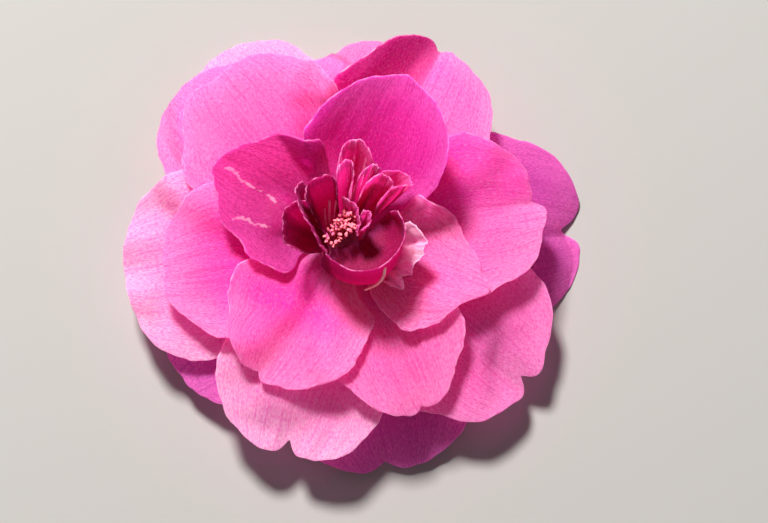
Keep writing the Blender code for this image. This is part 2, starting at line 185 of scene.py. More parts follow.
# The small petals among the stamens stand up like shells. Points are given as direction
# round the bloom, distance from its axis and height: rim runs anticlockwise, foot is the
# middle of the foot; belly: how far the wall bulges out at its start, middle and end,
# and how far down; swing: how far its end sways round the bloom halfway up;
# roll: how far the rim bends outward; frill, flute: unevenness of rim and wall;
# stripes: strength of the pale stripes; bleached: shares of the rim between which it pales.
shellForm = dict(
    slot="petaloid", footHalf=2.0, belly=(2.0, 2.0, 2.0, 1.0), swing=0.0, roll=0.5, frill=0.3, flute=0.3,
    wall=0.28, count=44, relief=0.03, ribs=12.0, stripes=0.0, bleached=None,
)
petaloids = [
    dict(name="petaloid_top", finish="petaloid_painted_lit", rim=((62, 11.7, 29.5), (65, 14.7, 31.3),
         (72, 17, 32.5), (80, 18.5, 32.8), (88, 17.9, 32.3), (93, 15.2, 31.3), (98, 11.7, 29.5)),
         foot=(80, 4.6, 16), belly=(2, 3.5, 2, 2), stripes=1.3),
    dict(name="petaloid_curl", finish="petal_pale", rim=((310, 14.3, 24), (315, 16.6, 24.6),
         (320, 15.2, 27), (326, 16.6, 27.4), (332, 15.6, 28.8), (338, 16.9, 29), (344, 16.9, 29.6),
         (350, 16.6, 30.2), (357, 14.8, 30.8), (364, 13.4, 30.2)), foot=(337, 4.8, 15.8), footHalf=2.4,
         belly=(3.5, 4.5, 4.5, 5), roll=1.4, frill=0.9, flute=0.5, bleached=(0.3, 0.55)),
    dict(name="petaloid_upper_right", finish="petaloid_painted_lit", rim=((36, 9.1, 30.5), (37, 12.6, 31.8),
         (32, 15.4, 32), (28.5, 16.4, 34), (38, 17, 31.1), (47, 16.2, 30.7), (56, 14.1, 29.5)),
         foot=(46, 4.6, 16.4), belly=(1, 3, 3, 2), roll=0.7),
    dict(name="petaloid_cup", rim=((236, 7.2, 33.5), (256, 8.8, 35.3), (280, 11.2, 36.4),
         (305, 12.7, 36.5), (330, 13, 36), (352, 12.6, 35), (372, 11.3, 33)), foot=(288, 2.4, 22),
         footHalf=3.6, belly=(6, 11.5, 4, 9), swing=6.0, roll=0.7, frill=0.1, flute=0.1),
    dict(name="petaloid_left", rim=((154, 8.5, 35.5), (162, 11, 36.4), (173, 12.6, 35.8),
         (186, 13, 34.8), (199, 13, 32.5), (208, 11.5, 30)), foot=(180, 4.5, 16.6), footHalf=2.6,
         belly=(1, 2.5, 2, 2)),
    dict(name="petaloid_upper_fold", finish="petaloid_painted_lit", rim=((36, 11.9, 30.5), (40, 13.4, 32.3),
         (49, 13.5, 33.3), (56, 11.7, 33.7), (61, 9.1, 33), (60, 6.3, 31.5)), foot=(52, 4.1, 17.2),
         footHalf=1.8, belly=(2, 2, 1, 1)),
    dict(name="petaloid_upper", finish="petaloid_painted_lit", rim=((80, 6, 33.5), (78, 9.5, 36),
         (82, 11.8, 37.3), (90, 12, 37.8), (98, 10, 37), (104, 6.5, 34.5)), foot=(91, 4.0, 17.4),
         footHalf=1.6, belly=(1, 2, 1, 1), stripes=1.4),
    dict(name="petaloid_left_fold", rim=((138, 11.3, 37.3), (150, 11.3, 37.8), (164, 9.6, 38),
         (182, 7.6, 38), (205, 6.7, 37.6), (228, 6.9, 36.3), (243, 7.4, 34)), foot=(195, 3.9, 17.6),
         footHalf=3.2, belly=(1, 2.5, 2, 0), roll=0.8, stripes=0.9),
    dict(name="petaloid_upper_left", rim=((106, 5.4, 34), (102, 8, 36.8), (110, 9.2, 38),
         (124, 9.7, 38.5), (138, 9.9, 38.4), (151, 9.2, 37.6), (160, 7.6, 36)), foot=(130, 3.9, 17.8),
         footHalf=2.2, belly=(1, 2, 1.5, 1)),
    dict(name="petaloid_upper_narrow", finish="petaloid_painted_lit", rim=((55, 12.3, 32), (58, 13.9, 33.6),
         (64, 13.4, 34.6), (70, 11, 34.4), (74, 7.8, 32.8)), foot=(66, 3.8, 18), footHalf=1.2,
         belly=(1, 1.5, 1, 1), stripes=1.3),
    dict(name="petaloid_heart", finish="petaloid_painted_lit", rim=((326, 3, 28.5), (350, 2.8, 30.5),
         (15, 3, 31.5), (45, 3.7, 31.9), (70, 4.8, 31.7), (95, 5.8, 30.5)), foot=(35, 2.4, 18.6),
         footHalf=1.4, belly=(0.6, 0.8, 0.6, 0)),
    dict(name="petaloid_small", finish="petaloid_painted_lit", rim=((338, 3, 29), (352, 4.1, 30.4),
         (8, 5.4, 31.2), (24, 5.7, 31.6), (38, 4.8, 31)), foot=(8, 3.2, 18.2), footHalf=1.2,
         belly=(0.6, 0.8, 0.6, 0)),
]

# The scales that hold the foot of the bloom: outer bracts first, then the sepals.
scaleForm = dict(cup=8.0, wrap=25.0, claw=0.5, rise=(4, 14, 26), wall=0.3, count=28,
                 buckle=0.2, frill=0.12, relief=0.03, ribs=9.0)
scales = [
    dict(name="bract_1", azimuth=20, length=5.0, half=3.8, foot=(2.7, 2.7), slot="bract"),
    dict(name="bract_2", azimuth=200, length=5.4, half=4.0, foot=(2.8, 3.2), slot="bract"),
    dict(name="bract_3", azimuth=110, length=6.2, half=4.8, foot=(3.0, 3.8), slot="bract"),
    dict(name="bract_4", azimuth=290, length=6.6, half=5.0, foot=(3.1, 4.4), slot="bract"),
    dict(name="sepal_1", azimuth=55, length=8.0, half=5.8, foot=(3.6, 4.8), slot="sepal"),
    dict(name="sepal_2", azimuth=199, length=8.0, half=5.8, foot=(3.9, 5.2), slot="sepal"),
    dict(name="sepal_3", azimuth=343, length=7.8, half=5.8, foot=(4.2, 5.7), slot="sepal"),
    dict(name="sepal_4", azimuth=127, length=7.6, half=5.6, foot=(4.5, 6.2), slot="sepal"),
    dict(name="sepal_5", azimuth=271, length=7.4, half=5.6, foot=(4.8, 6.7), slot="sepal"),
]


def slowNoise(values, seed, waves=(1.3, 2.9, 5.3, 9.7)):
    # a sum of sines with phases of its own, between about -1 and 1
    phases = np.random.RandomState(seed).uniform(0.0, 2.0 * math.pi, len(waves))
    parts = [np.sin(w * values + p) / (1.0 + 0.4 * i) for i, (w, p) in enumerate(zip(waves, phases))]
    return sum(parts) / 2.0


def flatPattern(petal, along, across):
    # where the grid lies on the petal spread flat: out from its foot, and across
    length, half, widest = petal["length"], petal["half"], petal["widest"]
    low = np.clip(along / widest, 0.0, 1.0)
    high = np.clip((along - widest) / (1.0 - widest), 0.0, 1.0)
    spread = petal["claw"] + (1.0 - petal["claw"]) * np.sin(low * math.pi / 2.0)
    side = across * (1.0 - high**2 / 2.0) ** petal["square"]
    tip = high * (1.0 - across**2 / 2.0) ** petal["square"]
    out = length * (widest * low + (1.0 - widest) * tip)
    out = out + petal["point"] * length * tip * np.exp(-((side / petal["pointWidth"]) ** 2))
    if petal["notch"]:
        place, depth, width = petal["notch"]
        out = out - depth * high**3 * np.exp(-(abs((side - place) / width) ** 1.3))
    out = out + petal["frill"] * high**2 * slowNoise(side * 3.0, petal["seed"])
    rim = across**4 * np.sign(across)
    aside = half * side * spread + petal["frill"] * rim * slowNoise(along * 6.0, petal["seed"] + 7)
    middle = 0.45 * length
    toward = np.degrees(np.arctan2(aside, out - middle))
    stretch = 1.0
    for direction, share, wide in petal["bulges"]:
        stretch = stretch + share * np.exp(-(((toward - direction) / wide) ** 2))
    out = middle + (out - middle) * stretch
    return out, aside * stretch


def rolled(petal, out, aside):
    # the same points rolled into a cone round the axis
    cosine = math.cos(math.radians(petal["wrap"]))
    apex = petal["foot"][0] / cosine
    distance = np.hypot(out + apex, aside) - apex
    turn = np.degrees(np.arctan2(aside, out + apex)) / cosine
    return distance, turn


def freeRise(petal, out, aside):
    # how high the petal would stand with nothing under it, in degrees at its foot
    foot, middle, tip = petal["rise"]
    far = np.clip(out / petal["length"], 0.0, 1.2)
    rise = foot * (1 - far) * (1 - 2 * far) + middle * 4 * far * (1 - far)
    rise = rise + tip * far * (2 * far - 1)
    wide = aside / petal["half"]
    rise = rise + petal["cup"] * wide**2
    ccwLift, cwLift = petal["lift"]
    lifted = ccwLift * np.maximum(wide, 0.0) ** 1.5 + cwLift * np.maximum(-wide, 0.0) ** 1.5
    rise = rise + lifted * far
    rise = rise + petal["fold"] * np.exp(-((wide / petal["foldWidth"]) ** 2))
    for place, height, width in petal["creases"]:
        rise = rise + height * far**2 * np.exp(-(abs((wide - place) / width) ** 1.2))
    rise = rise + petal["wave"] * far**3 * np.sin(petal["waves"] * math.pi * wide + petal["azimuth"])
    uneven = slowNoise(wide * 3.0 + far * 1.7, petal["seed"] + 3)
    uneven = uneven * slowNoise(far * 4.0 - wide, petal["seed"] + 5, (1.1, 2.3))
    return rise + petal["buckle"] * far * 2.0 * uneven


def aroundField(field):
    rings = np.arange(feel["rings"])
    shifted = []
    for ring in (-1, 0, 1):
        rows = np.clip(rings + ring, 0, feel["rings"] - 1)
        shifted += [np.roll(field[rows], spoke, axis=1) for spoke in (-1, 0, 1)]
    return np.array(shifted)


def feltRise(petal, beneath):
    # the least rise over each ring and spoke that clears what lies beneath
    radius, direction, height = beneath
    footRadius, footHeight = petal["foot"]
    distance = np.hypot(radius - footRadius, height - footHeight)
    rise = np.degrees(np.arctan2(height - footHeight, radius - footRadius))
    room = feel["room"] if petal["length"] > 30.0 else feel["smallRoom"]
    rise = rise + np.degrees(room / np.maximum(distance, room))
    ring = np.minimum((distance / feel["stepOut"]).astype(int), feel["rings"] - 1)
    spoke = ((direction - petal["azimuth"]) % 360.0 / feel["stepRound"]).astype(int)
    spoke = spoke % feel["spokes"]
    felt = np.full((feel["rings"], feel["spokes"]), feel["floorAngle"])
    near = (distance > feel["nearest"]) & (rise < feel["steepest"])
    np.maximum.at(felt, (ring[near], spoke[near]), rise[near])
    for _ in range(2):
        felt = aroundField(felt).max(axis=0)
    for _ in range(2):
        felt = aroundField(felt).mean(axis=0)
    return felt


def sampledFelt(felt, distance, turn):
    ring = np.clip(distance / feel["stepOut"] - 0.5, 0.0, feel["rings"] - 1.001)
    spoke = (turn % 360.0) / feel["stepRound"] - 0.5
    lowRing, lowSpoke = ring.astype(int), np.floor(spoke).astype(int)
    shareOut, shareRound = ring - lowRing, spoke - lowSpoke
    total = 0.0
    for i, weightOut in ((0, 1 - shareOut), (1, shareOut)):
        for j, weightRound in ((0, 1 - shareRound), (1, shareRound)):
            value = felt[lowRing + i, (lowSpoke + j) % feel["spokes"]]
            total = total + weightOut * weightRound * value
    return total


def petalPoints(petal, out, aside, felt):
    # the petal's surface as radius, direction and height
    distance, turn = rolled(petal, out, aside)
    free = freeRise(petal, out, aside)
    least = sampledFelt(felt, distance, turn)
    blend = feel["blend"]
    free = np.maximum(free, least) + blend * np.log1p(np.exp(-abs(free - least) / blend))
    footRadius, footHeight = petal["foot"]
    drop = (footHeight - feel["table"]) / np.maximum(distance, footHeight)
    table = -np.degrees(np.arcsin(np.clip(drop, 0.0, 1.0)))
    rise = np.radians(np.maximum(free, table))
    radius = footRadius + distance * np.cos(rise)
    height = footHeight + distance * np.sin(rise)
    return radius, petal["azimuth"] + turn, height


def sideShadingShare(petal, across):
    # painted light and shade on one side of a petal: the deep colour runs further out where that side is
    # shaded, and less far where it is lit
    ccwSide, cwSide = petal["paintedSideShading"]
    return ccwSide * smoothStep(across, 0.0, 0.35) + cwSide * smoothStep(-across, 0.0, 0.35)


def streakMark(petal, out, aside):
    mark = np.zeros(out.shape)
    for outStart, asideStart, outEnd, asideEnd, width in petal["streaks"]:
        share = np.clip((out - outEnd) / (outStart - outEnd), -1.0, 2.0)
        middle = asideEnd + (asideStart - asideEnd) * share
        middle = middle + 0.5 * slowNoise(share * 8.0, petal["seed"] + 2)
        ends = smoothStep(share, -0.08, 0.08) * smoothStep(share, 1.06, 0.94)
        ends = ends * (0.85 + 0.5 * slowNoise(share * 6.0, petal["seed"] + 6))
        mark = np.maximum(mark, ends * np.exp(-(((aside - middle) / width) ** 2)))
    return mark


def inSpace(radius, direction, height):
    angle = np.radians(direction)
    x = radius * np.cos(angle) * mm + axisX
    y = radius * np.sin(angle) * mm + axisY
    return np.stack([x, y, height * mm], axis=-1)


def rimDistance(out, aside):
    # how far each point of the flat pattern lies from the outline, in mm
    rimOut, rimAside = (np.concatenate([grid[0], grid[-1], grid[:, 0], grid[:, -1]]) for grid in (out, aside))
    nearest = np.full(out.shape, 1e9)
    for i in range(out.shape[0]):
        gap = np.hypot(out[i][:, None] - rimOut[None], aside[i][:, None] - rimAside[None])
        nearest[i] = gap.min(axis=1)
    return nearest


def closingIn(count, bothEnds):
    # even steps that close up to the rim, so that it can be rounded
    ends = np.array([0.984, 0.992, 0.997, 1.0])
    if not bothEnds:
        return np.concatenate([np.linspace(0.0, 0.972, count - 4), ends])
    return np.concatenate([-ends[::-1], np.linspace(-0.972, 0.972, count - 8), ends])


def growing(forms):
    # each form with its foot on the cone: radius and height
    placed = []
    for order, form in enumerate(forms):
        share = (order + 0.5) / len(forms)
        foot = tuple(low + share * (high - low) for low, high in zip(core["foot"], core["top"]))
        placed.append({**petalForm, **form, "foot": foot})
    return placed


def aroundAxis(points):
    # direction, distance and height as positions in mm
    direction, distance, height = np.array(points, dtype=float).T
    angle = np.radians(direction)
    return np.stack([distance * np.cos(angle), distance * np.sin(angle), height], axis=-1)


def smoothThrough(points, share):
    # a smooth curve through the points, at shares of the way along it
    knots = np.concatenate([[2 * points[0] - points[1]], points, [2 * points[-1] - points[-2]]])
    place = np.clip(share, 0.0, 1.0) * (len(points) - 1)
    start = np.minimum(place.astype(int), len(points) - 2)
    t = (place - start)[:, None]
    a, b, c, d = (knots[start + i] for i in range(4))
    return 0.5 * (2 * b + (c - a) * t + (2 * a - 5 * b + 4 * c - d) * t**2 + (3 * b - a - 3 * c + d) * t**3)


def shellPoints(shell, along, across):
    # a wall that rises from the foot to the rim, bulging on the way
    share = (across[0] + 1.0) / 2.0
    rim = smoothThrough(aroundAxis(shell["rim"]), share)
    rim[:, 2] = rim[:, 2] + shell["frill"] * slowNoise(share * 9.0, shell["seed"])
    middle = aroundAxis([shell["foot"]])[0]
    sideways = np.array([-middle[1], middle[0], 0.0]) / np.hypot(middle[0], middle[1])
    foot = middle + sideways * (across[0] * shell["footHalf"])[:, None]
    outward = rim * np.array([1.0, 1.0, 0.0])
    outward = outward / np.linalg.norm(outward, axis=1)[:, None]
    start, centre, end, down = shell["belly"]
    bulge = np.interp(share, [0.0, 0.5, 1.0], [start, centre, end])
    control = (foot + rim) / 2.0 + outward * bulge[:, None] - np.array([0.0, 0.0, down])
    swing = shell["swing"] * smoothStep(share, 0.6, 1.0)
    control = control + np.stack([-outward[:, 1], outward[:, 0], 0.0 * share], axis=-1) * swing[:, None]
    t = along[:, :1, None]
    points = (1 - t) ** 2 * foot[None] + 2 * t * (1 - t) * control[None] + t**2 * rim[None]
    bend = shell["roll"] * smoothStep(along, 0.82, 1.0) ** 2
    bend = bend + shell["flute"] * along**2 * slowNoise(across * 7.0 + along, shell["seed"] + 4)
    return points + outward[None] * bend[..., None] - np.array([0.0, 0.0, 0.4]) * bend[..., None]


def shellPattern(points):
    # lengths measured on the wall itself: out from its foot, and across from its middle
    out = np.zeros(points.shape[:2])
    out[1:] = np.linalg.norm(np.diff(points, axis=0), axis=-1).cumsum(axis=0)
    aside = np.zeros(points.shape[:2])
    aside[:, 1:] = np.linalg.norm(np.diff(points, axis=1), axis=-1).cumsum(axis=1)
    return out, aside - aside[:, -1:] / 2.0


def sheetMesh(name, points, marks):
    rows, columns = points.shape[:2]
    index = np.arange(rows * columns).reshape(rows, columns)
    corners = (index[:-1, :-1], index[1:, :-1], index[1:, 1:], index[:-1, 1:])
    quads = np.stack(corners, axis=-1).reshape(-1, 4)
    mesh = bpy.data.meshes.new(name)
    mesh.from_pydata(points.reshape(-1, 3).tolist(), [], quads.tolist())
    for label, values in marks.items():
        mesh.attributes.new(label, "FLOAT", "POINT").data.foreach_set("value", values.ravel())
    return mesh


# the trees: a named input for every size, and real geometry in its material at the end

socketKinds = {float: "Float", int: "Int", bool: "Bool", tuple: "Vector"}


def startTree(name, inputs, onMesh=True):
    tree = bpy.data.node_groups.new(name, "GeometryNodeTree")
    face = tree.interface
    if onMesh:
        face.new_socket("Geometry", in_out="INPUT", socket_type="NodeSocketGeometry")
    for label, value in inputs.items():
        kind = "NodeSocket" + socketKinds[type(value)]
        face.new_socket(label, in_out="INPUT", socket_type=kind).default_value = value
    face.new_socket("Finish", in_out="INPUT", socket_type="NodeSocketMaterial")
    face.new_socket("Geometry", in_out="OUTPUT", socket_type="NodeSocketGeometry")
    node = partial(addNode, tree)
    return tree, node, node("NodeGroupInput").outputs


def endTree(tree, node, given, geometry):
    real = node("GeometryNodeRealizeInstances", {"Geometry": geometry})
    final = node("GeometryNodeSetMaterial", {"Geometry": real, "Material": given["Finish"]})
    node("NodeGroupOutput", {0: final})
    return tree


def linked(name, data):
    made = bpy.data.objects.new(name, data)
    bpy.context.scene.collection.objects.link(made)
    return made


def grown(obj, tree, settings):
    # runs the tree on the object and keeps the result as a plain mesh
    modifier = obj.modifiers.new(tree.name, "NODES")
    modifier.node_group = tree
    sockets = {}
    for item in tree.interface.items_tree:
        if item.item_type == "SOCKET" and item.in_out == "INPUT":
            sockets[item.name] = item.identifier
    for label, value in settings.items():
        modifier[sockets[label]] = value
    graph = bpy.context.evaluated_depsgraph_get()
    graph.update()
    made = bpy.data.meshes.new_from_object(
        obj.evaluated_get(graph), preserve_all_data_layers=True, depsgraph=graph)
    obj.modifiers.clear()
    old = obj.data
    obj.data = made
    bpy.data.meshes.remove(old)
    return obj


def standFor(obj, nodes):
    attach(obj, "root")
    if nodes:
        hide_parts(*nodes)
    return obj


def makeSkinTree():
    # turns a sheet into a ribbed petal of even thickness with a rounded rim
    tree, node, given = startTree("petalSkin", {
        "Wall": 0.00045, "Rim": 0.25, "Relief": 0.00005, "Ribs": 26.0, "Seed": 0.0})
    along, across, edge = (
        node("GeometryNodeInputNamedAttribute", {"Name": label}, data_type="FLOAT")
        for label in ("along", "across", "edge"))
    # ribs run from the foot to the rim and fan out with it
    fanned = node("ShaderNodeMath", {0: across, 1: given["Ribs"]}, operation="MULTIPLY")
    outward = node("ShaderNodeMath", {0: along, 1: 3.0}, operation="MULTIPLY")
    place = node("ShaderNodeCombineXYZ", {"X": fanned, "Y": outward, "Z": given["Seed"]})
    ribs = node("ShaderNodeTexNoise", {"Vector": place, "Scale": 0.5, "Detail": 2.0, "Roughness": 0.5})
    fade = node("ShaderNodeMapRange", {"Value": along, "From Min": 0.1, "From Max": 0.7},
                interpolation_type="SMOOTHSTEP")
    lift = ribs
    for operation, amount in (("SUBTRACT", 0.5), ("MULTIPLY", fade), ("MULTIPLY", given["Relief"])):
        lift = node("ShaderNodeMath", {0: lift, 1: amount}, operation=operation)
    normal = node("GeometryNodeInputNormal")
    push = node("ShaderNodeVectorMath", {0: normal, "Scale": lift}, operation="SCALE")
    ribbed = node("GeometryNodeSetPosition", {"Geometry": given["Geometry"], "Offset": push})
    # the wall thins to nothing at the rim along a quarter circle
    wall = edge
    for operation, amount in (
            ("DIVIDE", given["Rim"]), ("MINIMUM", 1.0), ("SUBTRACT", 1.0), ("POWER", 2.0),
            ("MULTIPLY", -1.0), ("ADD", 1.0), ("SQRT", 0.0), ("MULTIPLY", given["Wall"])):
        wall = node("ShaderNodeMath", {0: wall, 1: amount}, operation=operation)
    skins = []
    for share in (0.5, -0.5):
        reach = node("ShaderNodeMath", {0: wall, 1: share}, operation="MULTIPLY")
        offset = node("ShaderNodeVectorMath", {0: normal, "Scale": reach}, operation="SCALE")
        moved = node("GeometryNodeSetPosition", {"Geometry": ribbed, "Offset": offset})
        skins.append(node("GeometryNodeStoreNamedAttribute",
                          {"Geometry": moved, "Name": "under", "Value": 0.5 - share},
                          data_type="FLOAT", domain="POINT"))
    turned = node("GeometryNodeFlipFaces", {"Mesh": skins[1]})
    both = node("GeometryNodeJoinGeometry", {0: skins[0]})
    tree.links.new(turned.outputs[0], both.inputs[0])
    merged = node("GeometryNodeMergeByDistance", {"Geometry": both, "Distance": 1e-6})
    return endTree(tree, node, given, node("GeometryNodeSetShadeSmooth", {"Geometry": merged}))


# materials

# Fresh camellia petal: a thin, waxy-satin skin of small domed cells over pale tissue.
# To the eye it is silky and a little velvety, glows rose where light comes through it,
# is paler towards its margin, and has a fine net of darker veins that fan out from its
# foot. Margin, body and heart are the colour from the rim to the foot, the deep heart
# partly painted shade; paleWidth is how many millimetres the pale margin reaches inward;
# rim is a painted highlight along the edge, a colour that the pale streaks share.
petalFinishes = {
    "petal_pale": dict(margin="#ffdcec", body="#ffbae4", heart="#ff63de", vein="#ee5cc4",
                       rim="#ffdcec", under="#ffc0ed", paleWidth=13.0),
    # painted shade and painted sky light: the same petal pink made darker and bluer for the back petals that
    # lie low in the shade of the others
    "petal_mauve": dict(margin="#fb94dd", body="#ee7bd4", heart="#dd4fbc", vein="#cc4fb7",
                        rim="#ffccf2", under="#ff9ce1", paleWidth=8.0),
    "petal_pink": dict(margin="#ffb9e5", body="#fe98da", heart="#f849ce", vein="#e849b1",
                       rim="#ffdcec", under="#fface2", paleWidth=10.0),
    # painted shade: the pink with a far deeper heart, for the fold of the top right petal that is turned away
    # from the key light
    "petal_painted_fold_shade": dict(margin="#ffb9e5", body="#fe98da", heart="#c81886", vein="#e849b1",
                         rim="#ffdcec", under="#fface2", paleWidth=5.0),
    "petal_inner": dict(margin="#ff8ce8", body="#f454d0", heart="#e028b0", vein="#d020a0",
                        rim="#ffc0e8", under="#fc7cd8", paleWidth=8.0),
    "petal_heart": dict(margin="#f068cc", body="#ec50b8", heart="#c8147e", vein="#bc187c",
                        rim="#ffc8e8", under="#e458c0", paleWidth=10.0, net=0.45, veins=0.36),
    # its under colour is painted shade: the outer walls of the shells, turned away from the light, made deep
    # crimson
    "petaloid": dict(margin="#e454b4", body="#d83494", heart="#c41860", vein="#b41464",
                     rim="#ffbce4", under="#bc1c74", paleWidth=2.2, net=0.45, veins=0.36),
    # painted light: a lighter copy of the petaloid colours for the upper shells that the light reaches
    "petaloid_painted_lit": dict(margin="#f88cd8", body="#f464bc", heart="#e03090", vein="#d02c88",
                           rim="#ffc8e8", under="#f468bc", paleWidth=2.6, net=0.45, veins=0.36),
}
petalSurface = dict(ior=1.4, specular=0.22, roughness=0.5, sheen=0.02, sheenRoughness=0.5,
                    translucent=0.8, relief=0.0004, reliefStrength=0.35)

# Patterns on the petal spread flat: repeats per millimetre across and outward, the span
# of noise over which the pattern sets in, and how strong it gets. Real cells are 0.03 mm
# wide and veins 0.1 mm: the net is drawn about ten times coarser, so that it shows.
petalPatterns = dict(
    net=dict(across=3.8, outward=1.2, shift=0.0, span=(0.45, 0.6), most=0.5, detail=1.0),
    veins=dict(across=1.7, outward=0.09, shift=3.0, span=(0.47, 0.68), most=0.4, detail=2.0),
    flecks=dict(across=3.6, outward=1.2, shift=7.0, span=(0.48, 0.66), most=0.38, detail=1.0),
    cloud=dict(across=0.18, outward=0.1, shift=11.0, span=(0.45, 0.75), most=0.3, detail=3.0),
    # painted highlight: where along the rim the pale highlight line shows
    rimHighlightPatches=dict(across=0.5, outward=0.5, shift=17.0, span=(0.42, 0.6), most=1.0, detail=1.0),
)


def newMaterial(name):
    made = bpy.data.materials.new(name)
    made.use_nodes = True
    made.node_tree.nodes.clear()
    return made, partial(addNode, made.node_tree)


def makePetalMaterial(finishName, look):
    made, node = newMaterial("fresh_" + finishName)
    # each petal carries these marks: lengths are in millimetres on the petal spread flat
    fan, out, deep, edge, pale, under, streak = (
        node("ShaderNodeAttribute", attribute_name=label).outputs["Fac"]
        for label in ("fan", "out", "deep", "edge", "pale", "under", "streak"))
    spot = node("ShaderNodeCombineXYZ", {"X": fan, "Y": out})
    noises, parts = {}, {}
    for label, pattern in petalPatterns.items():
        low, high = pattern["span"]
        place = node("ShaderNodeMapping", {
            "Vector": spot, "Scale": (pattern["across"], pattern["outward"], 1.0),
            "Location": (0.0, 0.0, pattern["shift"])})
        noises[label] = node("ShaderNodeTexNoise", {
            "Vector": place, "Scale": 1.0, "Detail": pattern["detail"], "Roughness": 0.6})
        parts[label] = node("ShaderNodeMapRange", {
            "Value": noises[label], "From Min": low, "From Max": high,
            "To Max": look.get(label, pattern["most"])})
    marginPart = node("ShaderNodeMapRange", {
        "Value": pale, "From Min": 0.0, "From Max": look["paleWidth"], "To Min": 0.9, "To Max": 0.0},
        interpolation_type="SMOOTHSTEP")
    underPart = node("ShaderNodeMath", {0: under, 1: 0.8}, operation="MULTIPLY")
    # painted highlight: a pale line along the rim, broken into patches, where the edge would catch the light
    rimHighlight = node("ShaderNodeMapRange", {
        "Value": edge, "From Min": 0.02, "From Max": 0.28, "To Min": 0.75, "To Max": 0.0})
    rimHighlightPart = node("ShaderNodeMath", {0: rimHighlight, 1: parts["rimHighlightPatches"]}, operation="MULTIPLY")
    # pale streaks with frayed sides, where the pigment is missing
    frayed = node("ShaderNodeMath", {0: noises["veins"], 1: streak}, operation="ADD")
    streakPart = node("ShaderNodeMapRange", {
        "Value": frayed, "From Min": 1.0, "From Max": 1.25, "To Max": 0.8})
    colour = linearColour(look["body"])
    for part, tint in (
            (deep, "heart"), (marginPart, "margin"), (parts["cloud"], "body"),
            (parts["flecks"], "margin"), (parts["veins"], "vein"), (parts["net"], "vein"),
            (underPart, "under"), (rimHighlightPart, "rim"), (streakPart, "rim")):
        colour = node("ShaderNodeMix", {"Factor": part, 6: colour, 7: linearColour(look[tint])},
                      data_type="RGBA")
    height = node("ShaderNodeMath", {0: noises["net"], 1: noises["veins"]}, operation="ADD")
    bump = node("ShaderNodeBump", {
        "Height": height, "Strength": petalSurface["reliefStrength"], "Distance": petalSurface["relief"]})
    rough = node("ShaderNodeMapRange", {
        "Value": noises["cloud"],
        "To Min": petalSurface["roughness"] - 0.06, "To Max": petalSurface["roughness"] + 0.08})
    skin = node("ShaderNodeBsdfPrincipled", {
        "Base Color": colour, "Roughness": rough, "IOR": petalSurface["ior"],
        "Specular IOR Level": petalSurface["specular"], "Sheen Weight": petalSurface["sheen"],
        "Sheen Roughness": petalSurface["sheenRoughness"], "Normal": bump})
    through = node("ShaderNodeBsdfTranslucent", {"Color": colour, "Normal": bump})
    whole = node("ShaderNodeMixShader", {"Fac": petalSurface["translucent"], 1: skin, 2: through})
    node("ShaderNodeOutputMaterial", {"Surface": whole})
    return made


# The small parts mottle between a light and a dark tone; scale is in repeats per metre.
plainFinishes = {
    # soft green scales: matt, with a little light through their thin rims
    "sepal": dict(name="downy_sepal", light="#78823e", dark="#4c5822", scale=900.0, roughness=0.6,
                  relief=0.0001, translucent=0.1),
    # straw-pale hairs that catch the light at the rims of the scales
    "down": dict(name="silky_down", light="#e8e2c4", dark="#c8c096", scale=900.0, roughness=0.55,
                 relief=0.00002, translucent=0.4),
    # papery brown outer scales, dry and dull
    "bract": dict(name="dry_bract", light="#745f34", dark="#443418", scale=1100.0, roughness=0.7,
                  relief=0.0001),
    # firm flesh under the petals, coloured dark rose like the shaded centre instead of its own pale green:
    # painted shade
    "receptacle": dict(name="receptacle_painted_shade", light="#c85088", dark="#982858", scale=700.0,
                       roughness=0.5, relief=0.0001),
    # young wood: rough, brown, without any shine
    "stalk": dict(name="woody_stalk", light="#64542f", dark="#3a2f17", scale=900.0, roughness=0.75,
                  relief=0.0002),
    # smooth threads that glow pink against the light
    "filament": dict(name="waxy_filament", light="#fa9c98", dark="#f06490", scale=900.0, roughness=0.45,
                     relief=0.00005, translucent=0.4),
    # a stray thread painted pale pink, painted light that lifts it out of the shade beside the cup
    "stray": dict(name="stray_filament_painted_light", light="#ffccd0", dark="#ff9cac", scale=900.0, roughness=0.5,
                  relief=0.00005, translucent=0.3),
    # broad filaments on their way to becoming petaloids, partly their own pink and partly painted light that
    # lifts them out of the shade of the left fold
    "strap": dict(name="flat_filament", light="#ff98cc", dark="#f060ac", scale=900.0, roughness=0.5,
                  relief=0.00005, translucent=0.5),
    # grainy lobes dusted with pollen, quite matt
    "anther": dict(name="pollen_anther", light="#fa8c88", dark="#e8508c", scale=2500.0, roughness=0.8,
                   relief=0.0001, translucent=0.2),
}


def makePlainMaterial(name, light, dark, scale, roughness, relief, translucent=0.0):
    made, node = newMaterial(name)
    place = node("ShaderNodeTexCoord").outputs["Object"]
    mottle = node("ShaderNodeTexNoise", {
        "Vector": place, "Scale": scale, "Detail": 4.0, "Roughness": 0.6})
    spread = node("ShaderNodeMapRange", {"Value": mottle, "From Min": 0.35, "From Max": 0.65})
    colour = node("ShaderNodeMix", {
        "Factor": spread, 6: linearColour(dark), 7: linearColour(light)}, data_type="RGBA")
    bump = node("ShaderNodeBump", {"Height": mottle, "Strength": 0.5, "Distance": relief})
    surface = node("ShaderNodeBsdfPrincipled", {
        "Base Color": colour, "Roughness": roughness, "IOR": 1.45, "Normal": bump})
    if translucent:
        through = node("ShaderNodeBsdfTranslucent", {"Color": colour})
        surface = node("ShaderNodeMixShader", {"Fac": translucent, 1: surface, 2: through})
    node("ShaderNodeOutputMaterial", {"Surface": surface})
    return made


finishes = {name: makePetalMaterial(name, look) for name, look in petalFinishes.items()}
finishes.update({name: makePlainMaterial(**look) for name, look in plainFinishes.items()})
print("materials made:", len(finishes))


# build the petals, from the lowest to the highest

